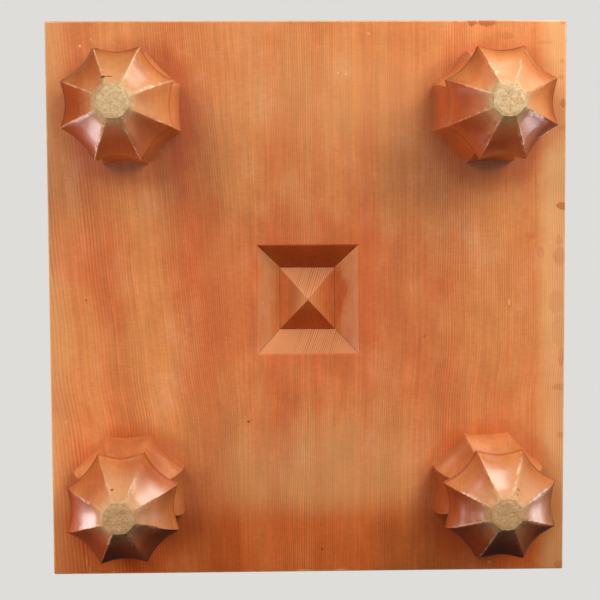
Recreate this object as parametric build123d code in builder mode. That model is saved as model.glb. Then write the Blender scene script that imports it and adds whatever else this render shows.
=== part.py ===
from build123d import *
import os
from math import cos, pi, sin

# A floor-standing weiqi (go) board: a thick wooden block on four carved legs.
# Frame: legs down on the floor at z = 0, +Z up, grain along Y, origin under the middle. Millimetres.

# Block
board_width = 424.2
board_length = 454.5
board_thickness = 151.5
edge_chamfer = 1.2

# Carved recess in the underside, with a four-sided pyramid left standing in it
recess_width = 84.8
recess_length = 90.9
recess_depth = 18.2
pyramid_width = 46.0
pyramid_length = 51.5
pyramid_drop = 0.6
pyramid_tip = 0.8

# Legs: height from floor to shoulder, and how far in from the board's sides and ends they stand
leg_height = 112.0
leg_inset_x = 64.1
leg_inset_y = 70.25
ridge_count = 8

# Leg stations: foot, widest rim of the fruit, neck, and collar against the board
foot_radius = 12.2
rim_height = 40.1
rim_radius = 47.3
neck_height = 70.0
neck_radius = 30.5
collar_radius = 48.6

# Hollow of each flute, as a share of the straight line between two ridges
foot_hollow = 0.05
rim_hollow = 0.10
neck_hollow = 0.09
collar_hollow = 0.035

# How the leg swells between stations: (share of the height, share of the radius)
fruit_swell = [(0.27, 0.18), (0.43, 0.44), (0.60, 0.69), (0.80, 0.89)]
under_swell = [(0.25, 0.06), (0.50, 0.34), (0.75, 0.73)]
collar_swell = [(0.15, 0.33), (0.30, 0.61), (0.50, 0.84), (0.75, 0.97)]

# Square tenon on the leg, and the mortise that it seats in
tenon_width = 33.3
tenon_length = 36.4
tenon_chamfer = 2.0
tenon_clearance = 0.15
mortise_spare_depth = 3.0

# Lacquered playing grid
line_count = 19
line_pitch_x = 22.0
line_pitch_y = 23.7
line_width = 1.0
line_height = 0.25

# Star points: three each way, with this many squares from one to the next
star_radius = 2.0
star_height = 0.25
stars_each_way = 3
star_gap_count = 6

# Worked out from the sizes above
underside = leg_height
top = leg_height + board_thickness
mortise_width = tenon_width + 2 * tenon_clearance
mortise_depth = tenon_length + mortise_spare_depth
grid_gaps = line_count - 1
star_pitch_x = star_gap_count * line_pitch_x
star_pitch_y = star_gap_count * line_pitch_y
leg_centre_x = board_width / 2 - leg_inset_x
leg_centre_y = board_length / 2 - leg_inset_y
leg_places = {
    "front_left": (-leg_centre_x, -leg_centre_y),
    "front_right": (leg_centre_x, -leg_centre_y),
    "back_left": (-leg_centre_x, leg_centre_y),
    "back_right": (leg_centre_x, leg_centre_y),
}

os.makedirs("parts", exist_ok=True)


def between(start, end, share):
    """The value that lies this share of the way from start to end."""
    return start + (end - start) * share


def swell(low, high, shares):
    """Stations from low up to high, both left out, where each is (height, ridge radius, hollow)."""
    return [
        (between(low[0], high[0], rise), between(low[1], high[1], out), between(low[2], high[2], rise))
        for rise, out in shares
    ]


def leg_stages():
    """The levels of the leg's three swells: fruit up to its rim, rim in to the neck, collar out to the block."""
    foot = (0, foot_radius, foot_hollow)
    rim = (rim_height, rim_radius, rim_hollow)
    neck = (neck_height, neck_radius, neck_hollow)
    collar = (leg_height, collar_radius, collar_hollow)
    return [
        [foot] + swell(foot, rim, fruit_swell) + [rim],
        [rim] + swell(rim, neck, under_swell) + [neck],
        [neck] + swell(neck, collar, collar_swell) + [collar],
    ]


def ridge_point(radius, turn):
    """A point this many ridges round, counted from the +X side with a flat there."""
    angle = (turn + 0.5) * 2 * pi / ridge_count
    return (radius * cos(angle), radius * sin(angle))


def flute_bottom(radius, hollow, turn):
    """The middle of the hollow between a ridge and the next one."""
    half = pi / ridge_count
    depth = 2 * radius * sin(half) * hollow
    reach = radius * cos(half) - depth
    angle = (turn + 1) * 2 * pi / ridge_count
    return (reach * cos(angle), reach * sin(angle))


# Block, with its chamfered edges, recess and four mortises
with BuildPart() as recess:
    with BuildSketch(Plane.XY.offset(underside)):
        Rectangle(recess_width, recess_length)
    with BuildSketch(Plane.XY.offset(underside + recess_depth)):
        Rectangle(pyramid_width, pyramid_length)
    loft(ruled=True)

with BuildPart() as pyramid:
    with BuildSketch(Plane.XY.offset(underside + recess_depth)):
        Rectangle(pyramid_width, pyramid_length)
    with BuildSketch(Plane.XY.offset(underside + pyramid_drop)):
        Rectangle(pyramid_tip, pyramid_tip * pyramid_length / pyramid_width)
    loft(ruled=True)

with BuildPart() as board_block:
    with BuildSketch(Plane.XY.offset(underside)):
        Rectangle(board_width, board_length)
    extrude(amount=board_thickness)
    chamfer(board_block.edges(), length=edge_chamfer)
    add(recess.part, mode=Mode.SUBTRACT)
    add(pyramid.part)
    with BuildSketch(Plane.XY.offset(underside)):
        with Locations(*leg_places.values()):
            Rectangle(mortise_width, mortise_width)
    extrude(amount=mortise_depth, mode=Mode.SUBTRACT)

board_block.part.label = "board_block"
export_step(board_block.part, "parts/board_block.step")


def make_leg(name, place):
    """A fluted leg like a gardenia fruit under its calyx, with its tenon, at its place under the block."""
    with BuildPart() as leg:
        for stage in leg_stages():
            for height, radius, hollow in stage:
                with BuildSketch(Plane.XY.offset(height).move(Location(place))):
                    with BuildLine():
                        for turn in range(ridge_count):
                            ThreePointArc(
                                ridge_point(radius, turn),
                                flute_bottom(radius, hollow, turn),
                                ridge_point(radius, turn + 1),
                            )
                    make_face()
            loft()
        with BuildSketch(Plane.XY.offset(leg_height).move(Location(place))):
            Rectangle(tenon_width, tenon_width)
        extrude(amount=tenon_length)
        chamfer(leg.faces().sort_by(Axis.Z)[-1].edges(), length=tenon_chamfer)
    leg.part.label = name
    export_step(leg.part, f"parts/{name}.step")


for corner, place in leg_places.items():
    make_leg(f"leg_{corner}", place)

# Star points, where the lacquer dots stand on the crossings
with BuildPart() as star_points:
    with BuildSketch(Plane.XY.offset(top)):
        with GridLocations(star_pitch_x, star_pitch_y, stars_each_way, stars_each_way):
            Circle(star_radius)
    extrude(amount=star_height)

star_points.part.label = "star_points"
export_step(star_points.part, "parts/star_points.step")

# Grid lines: one lattice of lacquer, open round each star point
with BuildPart() as grid_lines:
    with BuildSketch(Plane.XY.offset(top)):
        Rectangle(grid_gaps * line_pitch_x + line_width, grid_gaps * line_pitch_y + line_width)
        with GridLocations(line_pitch_x, line_pitch_y, grid_gaps, grid_gaps):
            Rectangle(line_pitch_x - line_width, line_pitch_y - line_width, mode=Mode.SUBTRACT)
        with GridLocations(star_pitch_x, star_pitch_y, stars_each_way, stars_each_way):
            Circle(star_radius, mode=Mode.SUBTRACT)
    extrude(amount=line_height)

grid_lines.part.label = "grid_lines"
export_step(grid_lines.part, "parts/grid_lines.step")
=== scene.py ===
"""A floor-standing weiqi board: carved block, four fluted legs, lacquered grid, and a plain stage."""

import math

import bmesh
import bpy
from bpy.props import FloatProperty, FloatVectorProperty, IntProperty, PointerProperty
from mathutils import Matrix, Vector


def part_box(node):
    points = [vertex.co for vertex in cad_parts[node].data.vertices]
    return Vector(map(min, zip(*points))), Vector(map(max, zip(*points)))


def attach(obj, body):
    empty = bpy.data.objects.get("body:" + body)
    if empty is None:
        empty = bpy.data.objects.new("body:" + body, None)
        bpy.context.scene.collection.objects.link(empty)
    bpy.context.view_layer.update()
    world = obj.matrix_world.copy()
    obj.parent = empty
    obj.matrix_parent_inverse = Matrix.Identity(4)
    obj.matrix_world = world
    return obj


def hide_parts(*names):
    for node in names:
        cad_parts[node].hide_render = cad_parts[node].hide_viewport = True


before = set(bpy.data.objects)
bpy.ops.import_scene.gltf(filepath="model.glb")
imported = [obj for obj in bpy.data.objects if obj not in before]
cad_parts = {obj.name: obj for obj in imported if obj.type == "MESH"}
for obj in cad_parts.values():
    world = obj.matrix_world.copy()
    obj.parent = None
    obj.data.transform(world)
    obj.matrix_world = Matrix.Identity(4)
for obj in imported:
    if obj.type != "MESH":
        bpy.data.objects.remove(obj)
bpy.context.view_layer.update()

bl_info = {
    "name": "Weiqi Board",
    "version": (1, 0, 0),
    "blender": (4, 5, 0),
    "location": "View3D > Sidebar > Weiqi",
    "description": "Models and finishes a floor-standing weiqi board around its packed frame",
    "category": "Object",
}

block_low, block_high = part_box("board_block")
block_size = block_high - block_low
block_middle = (block_low + block_high) / 2
underside = block_low.z
playing_face = block_high.z
leg_bodies = ["leg_front_left", "leg_front_right", "leg_back_left", "leg_back_right"]


def sized(name, description, default, **more):
    """A length that the user can change, in metres."""
    return FloatProperty(name=name, description=description, default=default, unit="LENGTH",
                         subtype="DISTANCE", precision=5, **more)


def share(name, description, default, high=1.0):
    """A plain factor that the user can change."""
    return FloatProperty(name=name, description=description, default=default, min=0, max=high,
                         subtype="FACTOR")


def linear(value):
    """One channel of a colour as it is seen on a screen, 0 to 255, as the linear value that shaders take."""
    value = value / 255
    return value / 12.92 if value <= 0.04045 else ((value + 0.055) / 1.055) ** 2.4


def tint(name, description, red, green, blue):
    """A colour that the user can change, written as it is seen on a screen."""
    return FloatVectorProperty(name=name, description=description, subtype="COLOR", size=3, min=0, max=1,
                               default=(linear(red), linear(green), linear(blue)))


class BlockSettings(bpy.types.PropertyGroup):
    """Carving and colours of the block."""

    edge_wear: sized("Edge wear", "How far the block's outer edges are taken off", 0.0013)
    recess_width: sized("Recess width", "Mouth of the recess across the grain", 0.0848)
    recess_length: sized("Recess length", "Mouth of the recess along the grain", 0.0909)
    recess_depth: sized("Recess depth", "Depth of the valley round the pyramid", 0.0182)
    pyramid_width: sized("Pyramid width", "Foot of the pyramid across the grain", 0.046)
    pyramid_length: sized("Pyramid length", "Foot of the pyramid along the grain", 0.0515)
    pyramid_drop: sized("Pyramid drop", "How far the pyramid's tip stays under the underside", 0.0006)
    pyramid_tip: sized("Pyramid tip", "Width of the worn tip", 0.0008)
    mortise_width: sized("Mortise width", "Square mortise for a leg's tenon", 0.0336)
    mortise_depth: sized("Mortise depth", "Depth of each mortise", 0.0394)
    chisel_depth: sized("Chisel depth", "Unevenness that the chisel left on the walls of the recess", 0.00014)
    ring_width: sized("Ring width", "Growth ring width of the block", 0.00168)
    ring_wander: sized("Ring wander", "How far the grain strays from straight", 0.012)
    early_wood: tint("Early wood", "Lacquered wood between the ring lines", 213, 132, 68)
    late_wood: tint("Late wood", "How the ring lines darken the wood", 206, 170, 150)
    # Also, in part, painted shade towards the +Y end of the underside
    deep_tone: tint("Deep tone", "Bands and pools where the lacquer lies thick", 202, 86, 30)
    # Also the painted sheen on the walls of the recess
    thin_tone: tint("Thin tone", "Patches where the lacquer is rubbed thin", 204, 142, 96)
    # Painted shade on the recess walls turned to +Y, and painted shadow with some dirt round the legs
    shade_and_dirt_tint: tint("Soaked end grain", "How lacquer darkens the recess's sheltered end grain", 218, 168, 120)
    # Also painted sheen along the -X side and in two ovals, and painted highlights in the recess and along
    # the outer edges
    pale_margin: tint("Pale margin", "Sapwood and rubbed wood along the sides", 230, 178, 116)
    stain: tint("Stain", "Old marks along the edges", 214, 160, 120)
    # Also painted shade in the lower corners of the recess; it darkens the valley too
    grime_and_shade: tint("Grime", "Dirt in the valley of the recess and in dents", 84, 34, 14)
    play_wood: tint("Playing face", "Waxed wood of the playing face", 226, 168, 96)


class LegSettings(bpy.types.PropertyGroup):
    """Carving and colours of the legs."""

    ridges: IntProperty(name="Ridges", description="Ridges round a leg", default=8, min=3, max=16)
    foot_radius: sized("Foot radius", "Flat foot, to its ridges", 0.0122)
    rim_height: sized("Rim height", "Widest place of the fruit above the floor", 0.0401)
    rim_radius: sized("Rim radius", "Fruit at its rim, to the ridges", 0.0473)
    neck_height: sized("Neck height", "Narrowest place above the floor", 0.070)
    neck_radius: sized("Neck radius", "Neck, to the ridges", 0.0305)
    collar_radius: sized("Collar radius", "Collar against the block, to the ridges", 0.0486)
    foot_hollow: share("Foot hollow", "Flute depth at the foot, as a share of its width", 0.05)
    rim_hollow: share("Rim hollow", "Flute depth at the rim, as a share of its width", 0.10)
    neck_hollow: share("Neck hollow", "Flute depth at the neck, as a share of its width", 0.09)
    collar_hollow: share("Collar hollow", "Flute depth at the collar, as a share of its width", 0.035)
    ridge_wear: sized("Ridge wear", "How far the ridges are rounded", 0.0006)
    foot_wear: sized("Foot wear", "How far the foot's arris is rubbed round", 0.0022)
    flute_start: sized("Flute start", "Height at which the flutes are fully cut", 0.011)
    torn_foot: sized("Torn grain", "Depth of the torn end grain of the foot", 0.0006)
    tenon_width: sized("Tenon width", "Square tenon", 0.0333)
    tenon_length: sized("Tenon length", "Tenon above the shoulder", 0.0364)
    tenon_chamfer: sized("Tenon chamfer", "Chamfer round the tenon's end", 0.002)
    hand_swell: sized("Hand carving", "How far the carving strays from true", 0.0009)
    ring_width: sized("Ring width", "Growth ring width of the legs", 0.0019)
    early_wood: tint("Early wood", "Lacquered wood between the ring lines", 208, 126, 66)
    # Also the painted shade along the rim
    late_wood: tint("Late wood", "How the ring lines darken the wood", 206, 160, 140)
    # Also the painted shade on the flutes turned to +Y and -X
    deep_tone: tint("Deep tone", "Thick lacquer", 182, 74, 26)
    thin_tone: tint("Thin tone", "Lacquer rubbed thin", 212, 140, 88)
    # Partly a painted highlight along the ridges
    worn_ridge_and_glint: tint("Worn ridge", "Rubbed wood along the ridges", 240, 194, 156)
    # Painted shade on the +Y flutes of the legs at +Y
    far_flute_shade: tint("Grimy lacquer", "How dirt darkens the flutes at the +Y end", 170, 130, 110)
    # Also the painted sheen on the flutes turned to -Y and +X near the foot
    rubbed_wood: tint("Rubbed wood", "Thin lacquer round the foot", 220, 158, 106)
    foot_grain: tint("Foot", "Raw end grain of the foot", 200, 160, 110)
    foot_pale: tint("Foot, pale", "Dusty parts of the foot", 218, 188, 146)
    foot_dark: tint("Foot, dark", "Open pores of the foot", 150, 110, 64)
    pit: tint("Pit", "Dark pits in the wood", 70, 40, 24)


class GridSettings(bpy.types.PropertyGroup):
    """Lacquered lines and star points."""

    gaps: IntProperty(name="Squares", description="Squares each way", default=18, min=1)
    pitch_x: sized("Pitch across", "From line to line across the board", 0.022)
    pitch_y: sized("Pitch along", "From line to line along the board", 0.0237)
    line_width: sized("Line width", "Width of a lacquer line", 0.001)
    line_height: sized("Line height", "Height of a lacquer line over the wood", 0.00021)
    star_radius: sized("Star radius", "Radius of a star point", 0.002)
    star_height: sized("Star height", "Height of a star point over the wood", 0.00025)
    star_gap: IntProperty(name="Star gap", description="Squares from one star point to the next", default=6)
    lacquer: tint("Lacquer", "Black drawn lacquer", 26, 23, 21)


class StageSettings(bpy.types.PropertyGroup):
    """Camera, lamps and floor."""

    backdrop: tint("Backdrop", "Floor and background", 222, 221, 218)
    ambient: share("Ambient", "Strength of the even light from all round", 0.015, 4)
    mirrored: share("Mirrored", "Strength of the backdrop in reflections", 0.02)
    lamp_power: FloatProperty(name="Lamps", description="All lamps together, as a share of their own power",
                              default=1.0)


# Steps of the legs' meshes: round each flute, and out over the foot
flute_steps = 12
foot_steps = 8
# How far the tenon reaches down into the leg, to be joined with it
tenon_root = 0.02
# The recess: cuts across each wall and facet, wear of its arrises, and size of the chisel's hollows
wall_cuts = 23
arris_wear = 0.0003
chisel_width = 0.013
# How far inside the recess's mouth and valley the chisel's hollows are at their full depth
chisel_fade = 0.0015
# Size of the unevenness of a leg: the hand's swells, the tool's marks, chips in the ridges, torn end grain
hand_size = 0.040
tool_size = 0.009
chip_size = 0.0022
tear_size = 0.0016
# Over what height it fades to the block and to the floor, and how far chips and tears reach
block_fade = 0.012
floor_fade = 0.004
chip_reach = 0.0009
tear_reach = 0.009
# A point closer than this to a face of the block lies on it, and to a line of the block, on that
on_face = 1e-6
on_line = 1e-5
# How far a mark that is given across and along only reaches up and down
flat_mark_reach = 0.004
# The floor's distance from the middle at which it is gone, and at which it starts to fade
floor_ends = 0.62
floor_fades = 0.36
# Extra rings per square metre of radius that young wood is short of
young_growth = 900.0
# The hollow at which a section with eight ridges is round
round_section = -0.07

# Camera: its place and its turn, for the underside seen square on from below
camera_place = Vector((-0.0398, -0.0991, underside - 1.286))
camera_turn = Vector((math.radians(4.407), math.radians(-1.489), math.radians(-0.351)))
frame_pixels = 600
focal_pixels = 1568.4
sensor_width = 36.0

# Lamps: name, place and size in metres, power in watts, colour, and whether the lacquer mirrors it
lamps = [
    ("upper_right_key", (0.40, -0.68, -0.17), (0.45, 0.28), 2.9, (1, 1, 1), True),
    ("left_box", (-0.66, 0.21, 0.02), (0.15, 0.13), 0.80, (1, 1, 1), True),
    ("left_fill", (-0.72, 0.24, 0.00), (0.40, 0.25), 1.6, (1, 1, 1), False),
    ("right_box", (0.66, 0.21, 0.03), (0.14, 0.12), 0.56, (0.86, 0.91, 1.0), True),
    ("right_edge", (0.80, -0.40, -0.25), (0.35, 0.35), 2.0, (1, 1, 1), False),
    ("above_camera", (0.0, -0.95, -0.75), (0.60, 0.45), 1.4, (1, 1, 1), True),
    ("above_right", (0.67, -0.67, -0.75), (0.50, 0.50), 6.6, (1, 1, 1), True),
    ("above_left", (-0.67, -0.67, -0.75), (0.50, 0.50), 6.2, (1, 1, 1), True),
    ("left_front", (-0.95, 0.0, -0.75), (0.50, 0.50), 1.5, (1, 1, 1), False),
    ("panel_behind_camera", (0, -0.18, -1.20), (1.80, 1.25), 2.4, (1, 1, 1), True),
    ("top_key", (-0.35, -0.35, 1.7), (0.6, 0.6), 14, (1, 1, 1), True),
    ("top_fill", (0.4, 0.3, 1.5), (0.7, 0.7), 7, (1, 1, 1), True),
]


def work_on(obj):
    """Makes this object the only one selected, and active."""
    if bpy.context.object is not None and bpy.context.object.mode != "OBJECT":
        bpy.ops.object.mode_set(mode="OBJECT")
    bpy.ops.object.select_all(action="DESELECT")
    if obj is not None:
        obj.select_set(True)
        bpy.context.view_layer.objects.active = obj


def edit(obj):
    """Opens an object for edit operators."""
    work_on(obj)
    bpy.ops.object.mode_set(mode="EDIT")


def choose(obj, kind, wanted):
    """In edit mode, selects the elements of a kind, VERT, EDGE or FACE, that pass a test of their place."""
    bpy.context.tool_settings.mesh_select_mode = (kind == "VERT", kind == "EDGE", kind == "FACE")
    bpy.ops.mesh.select_all(action="DESELECT")
    mesh = bmesh.from_edit_mesh(obj.data)
    elements = {"VERT": mesh.verts, "EDGE": mesh.edges, "FACE": mesh.faces}[kind]
    found = [element for element in elements if wanted(element)]
    if not found:
        raise RuntimeError(f"{obj.name}: nothing to select among {kind}")
    for element in found:
        element.select_set(True)
    mesh.select_flush_mode()
    bmesh.update_edit_mesh(obj.data, loop_triangles=False, destructive=False)


def settle(obj):
    """Leaves edit mode and puts the object's place into its mesh."""
    work_on(obj)
    bpy.ops.object.transform_apply(location=True, rotation=True, scale=True)


def face_outward(obj):
    """Merges doubles and turns every face outward."""
    edit(obj)
    select_all()
    bpy.ops.mesh.remove_doubles(threshold=0.000005)
    bpy.ops.mesh.normals_make_consistent(inside=False)
    work_on(obj)


def apply_all(obj):
    """Applies every modifier, in order."""
    work_on(obj)
    for name in [modifier.name for modifier in obj.modifiers]:
        bpy.ops.object.modifier_apply(modifier=name)


def smooth(obj, degrees):
    """Smooth shading, with edges sharper than this left crisp."""
    work_on(obj)
    bpy.ops.object.shade_smooth_by_angle(angle=math.radians(degrees))


def displaced(obj, name, scale, strength, group, level=0.5):
    """Adds a Displace modifier with soft noise of this scale; at a level of 1 the surface only sinks."""
    texture = bpy.data.textures.new(name, "CLOUDS")
    texture.noise_scale = scale
    texture.noise_depth = 2
    modifier = obj.modifiers.new(name, "DISPLACE")
    modifier.texture = texture
    modifier.texture_coords = "LOCAL"
    modifier.strength = strength
    modifier.mid_level = level
    modifier.vertex_group = group


def weigh(obj, name, weight):
    """Fills a vertex group with a weight worked out from each point's place."""
    group = obj.vertex_groups.new(name=name)
    for vertex in obj.data.vertices:
        value = weight(vertex.co)
        if value > 0:
            group.add([vertex.index], value, "REPLACE")
    return group.name


def select_all():
    """In edit mode, selects the whole mesh."""
    bpy.ops.mesh.select_all(action="SELECT")


def draw_up(rise):
    """In edit mode, extrudes what is selected straight up, or down if it is negative."""
    bpy.ops.mesh.extrude_region_move(TRANSFORM_OT_translate={"value": (0, 0, rise)})


def scale_about(centre, x, y):
    """In edit mode, scales what is selected across and along, about a centre."""
    bpy.ops.transform.resize(value=(x, y, 1), center_override=centre)


class Value:
    """A value in a node tree. Arithmetic on it adds Math nodes to that tree."""

    def __init__(self, tree, socket):
        self.tree = tree
        self.socket = socket

    def __add__(self, other):
        return self.tree.math("ADD", self, other)

    def __sub__(self, other):
        return self.tree.math("SUBTRACT", self, other)

    def __rsub__(self, other):
        return self.tree.math("SUBTRACT", other, self)

    def __mul__(self, other):
        return self.tree.math("MULTIPLY", self, other)

    def __truediv__(self, other):
        return self.tree.math("DIVIDE", self, other)

    def __abs__(self):
        return self.tree.math("ABSOLUTE", self)

    def ease(self, start, end, low=0.0, high=1.0):
        """A smooth step from low to high while this value goes from start to end."""
        return self.tree.get("ShaderNodeMapRange", {0: self, 1: start, 2: end, 3: low, 4: high},
                             interpolation_type="SMOOTHSTEP")

    def covered(self, share_of_it, colour):
        """This colour with a share of another laid over it."""
        return self.tree.mix(share_of_it, self, colour)

    def darkened(self, share_of_it, colour):
        """This colour seen through a share of a darker one."""
        return self.tree.mix(share_of_it, self, colour, "MULTIPLY")


class Tree:
    """Adds nodes to a material or a node group, with numbers, colours or links put into their sockets."""

    def __init__(self, tree):
        self.tree = tree

    def fill(self, node, inputs):
        """Links or sets a node's inputs, by name or number."""
        for name, value in inputs.items():
            socket = node.inputs[name]
            if isinstance(value, Value):
                self.tree.links.new(value.socket, socket)
            elif socket.type == "RGBA" and len(value) == 3:
                socket.default_value = (*value, 1)
            else:
                socket.default_value = value

    def add(self, kind, inputs=None, **settings):
        """One node, with its settings and then its inputs."""
        node = self.tree.nodes.new(kind)
        for name, value in settings.items():
            setattr(node, name, value)
        self.fill(node, inputs or {})
        return node

    def get(self, kind, inputs=None, output=0, **settings):
        """One output of a new node, by name or number."""
        return Value(self, self.add(kind, inputs, **settings).outputs[output])

    def outputs(self, kind, inputs=None, **settings):
        """All outputs of a new node, by name."""
        node = self.add(kind, inputs, **settings)
        return {socket.name: Value(self, socket) for socket in node.outputs}

    def math(self, operation, *values):
        """A Math node's result."""
        return self.get("ShaderNodeMath", dict(enumerate(values)), operation=operation)

    def most(self, value, *others):
        """The highest of several values."""
        for other in others:
            value = self.math("MAXIMUM", value, other)
        return value

    def least(self, value, *others):
        """The lowest of several values."""
        for other in others:
            value = self.math("MINIMUM", value, other)
        return value

    def vector(self, operation, *values):
        """A Vector Math node's vector."""
        return self.get("ShaderNodeVectorMath", dict(enumerate(values)), operation=operation)

    def length(self, vector):
        """How long a vector is."""
        return self.get("ShaderNodeVectorMath", {0: vector}, "Value", operation="LENGTH")

    def axes(self, vector):
        """A vector's X, Y and Z."""
        return self.outputs("ShaderNodeSeparateXYZ", {0: vector}).values()

    def point(self, x, y, z=0.0):
        """A vector from its X, Y and Z."""
        return self.get("ShaderNodeCombineXYZ", {0: x, 1: y, 2: z})

    def grey(self, value):
        """A colour with the same value in its three channels."""
        return self.get("ShaderNodeCombineColor", {0: value, 1: value, 2: value})

    def mix(self, share_of_second, first, second, blend="MIX"):
        """Two colours mixed."""
        return self.get("ShaderNodeMix", {0: share_of_second, 6: first, 7: second}, 2,
                        data_type="RGBA", blend_type=blend)

    def noise(self, point, scale, detail=2.0, roughness=0.5):
        """Soft noise over the wood, 0 to 1."""
        return self.get("ShaderNodeTexNoise", {"Vector": point, "Scale": scale, "Detail": detail,
                                               "Roughness": roughness})

    def noise_along(self, distance, scale, detail):
        """Soft noise that changes with one distance only, 0 to 1."""
        return self.get("ShaderNodeTexNoise", {"W": distance, "Scale": scale, "Detail": detail},
                        noise_dimensions="1D")

    def stretched(self, point, across, along):
        """The point scaled across the grain (X and Z) and along it (Y)."""
        return self.vector("MULTIPLY", point, (across, along, across))

    def bump(self, height, strength, distance):
        """A normal that stands for this height."""
        return self.get("ShaderNodeBump", {"Strength": strength, "Distance": distance, "Height": height})

    def use(self, effect, **inputs):
        """The outputs of an effect's shared group, from its inputs by name, where _ stands for a space."""
        if effect not in shared_groups:
            shared_groups[effect] = effect()
        named = {name.replace("_", " "): value for name, value in inputs.items()}
        return self.outputs("ShaderNodeGroup", named, node_tree=shared_groups[effect])


shared_groups = {}


def new_group(name, inputs, outputs):
    """An empty shader node group with these sockets. Returns it, its Tree, its inputs and its output node."""
    group = bpy.data.node_groups.new(name, "ShaderNodeTree")
    for label, default in inputs.items():
        kind = "NodeSocketColor" if isinstance(default, tuple) else "NodeSocketFloat"
        if default is None:
            kind = "NodeSocketVector"
        socket = group.interface.new_socket(name=label, in_out="INPUT", socket_type=kind)
        if default is not None:
            socket.default_value = default
    for label in outputs:
        kind = "NodeSocketColor" if label == "Color" else "NodeSocketFloat"
        group.interface.new_socket(name=label, in_out="OUTPUT", socket_type=kind)
    tree = Tree(group)
    return group, tree, tree.outputs("NodeGroupInput"), tree.add("NodeGroupOutput")


def growth_rings():
    """Rings about a pith that runs along Y: ring lines, slow bands of tone, and fine fibre."""
    group, tree, given, result = new_group(
        "growth_rings",
        {"Vector": None, "Pith X": -0.5, "Pith Z": 0.4, "Ring Width": 0.002, "Wander": 0.01,
         "Young Radius": 0.0},
        ["Late Wood", "Tone", "Fibre"])
    point = given["Vector"]
    x, _, z = tree.axes(point)
    across = x - given["Pith X"]
    up = z - given["Pith Z"]
    radius = tree.math("SQRT", across * across + up * up)
    # The grain strays: a slow lean, waves of a hand's width, and small kinks
    for across_scale, along_scale, amount in ((3.0, 2.2, 0.8), (10.0, 9.0, 0.42), (42.0, 22.0, 0.12)):
        soft = tree.noise(tree.stretched(point, across_scale, along_scale), 1.0, 1.0)
        radius = radius + (soft - 0.5) * (given["Wander"] * amount)
    count = tree.noise_along(radius, 11.0, 2.0) * 9.0 + radius / given["Ring Width"]
    # Rings near the pith are wider
    young = tree.most(given["Young Radius"] - radius, 0.0)
    count = young * young * young_growth + count
    part = tree.math("FRACT", count)
    line = part.ease(0.20, 0.88) * part.ease(1.0, 0.92)
    odd = tree.get("ShaderNodeTexWhiteNoise", {"W": tree.math("FLOOR", count)}, noise_dimensions="1D")
    strength = odd * 0.50 + 0.50
    faded = tree.noise(tree.stretched(point, 16, 7), 1.0, 2.0).ease(0.34, 0.60, 0.35, 1.0)
    # Some years show their lines, others hardly do
    shown = faded * tree.noise_along(radius, 26.0, 1.0).ease(0.36, 0.60, 0.25, 1.0)
    rays = tree.noise(tree.stretched(point, 170, 420), 1.0, 2.0, 0.6)
    fibre = tree.noise(tree.stretched(point, 560, 26), 1.0, 3.0, 0.6)
    tree.fill(result, {
        "Late Wood": line * (strength * shown),
        "Tone": tree.noise_along(radius, 30.0, 3.0),
        "Fibre": odd * 0.15 + (rays * 0.35 + fibre * 0.50),
    })
    return group


def wood_colour():
    """Colour of lacquered wood from its rings, tone and fibre, and where the lacquer lies thick or thin."""
    group, tree, given, result = new_group(
        "wood_colour",
        {"Early": (0.6, 0.2, 0.05, 1), "Late": (0.4, 0.1, 0.03, 1), "Deep": (0.5, 0.1, 0.02, 1),
         "Thin": (0.6, 0.25, 0.12, 1), "Late Wood": 0.0, "Line Strength": 0.6, "Tone": 0.5, "Fibre": 0.5,
         "Thick": 0.0, "Mottle": 0.5, "Broad": 0.0},
        ["Color"])
    colour = given["Early"].covered(given["Tone"].ease(0.42, 0.70) * 0.30, given["Deep"])
    colour = colour.covered(given["Mottle"].ease(0.50, 0.72) * 0.50, given["Thin"])
    colour = colour.covered(given["Thick"] * 0.52, given["Deep"])
    # On the legs the broad deep tone is painted shade on the flutes turned from the light
    colour = colour.covered(given["Broad"], given["Deep"])
    colour = colour.darkened(given["Late Wood"] * given["Line Strength"], given["Late"])
    lift = (given["Fibre"] * 0.80 + 0.60) * (given["Mottle"] * 0.60 + 0.70)
    tree.fill(result, {"Color": colour.darkened(1.0, tree.grey(lift))})
    return group


def lacquer_pools():
    """Broad soft patches of thick lacquer, and the mottle of wiping and handling, 0 to 1 about 0.5."""
    group, tree, given, result = new_group(
        "lacquer_pools", {"Vector": None, "Scale": 12.0}, ["Thick", "Mottle"])
    point = given["Vector"]
    broad = tree.noise(tree.stretched(point, 1.0, 0.45), given["Scale"], 4.0, 0.55)
    moved = tree.vector("ADD", tree.stretched(point, 1.0, 0.7), (3.1, 1.7, 0.4))
    tree.fill(result, {
        "Thick": broad.ease(0.44, 0.68),
        "Mottle": tree.noise(moved, given["Scale"] * 1.6, 6.0, 0.58),
    })
    return group


def old_mark():
    """A ragged oval mark about a point: filled in, and only its rim, where a drop dried."""
    group, tree, given, result = new_group(
        "old_mark", {"Vector": None, "Centre": None, "Radii": None, "Softness": 0.35}, ["Mask", "Rim"])
    away = tree.vector("DIVIDE", tree.vector("SUBTRACT", given["Vector"], given["Centre"]), given["Radii"])
    ragged = tree.noise(given["Vector"], 330.0, 3.0, 0.6) * 1.1 + (tree.length(away) - 0.55)
    mask = ragged.ease(given["Softness"] + 1.0, 1.0 - given["Softness"])
    tree.fill(result, {"Mask": mask, "Rim": mask * (1.0 - mask) * 4.0})
    return group


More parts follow.
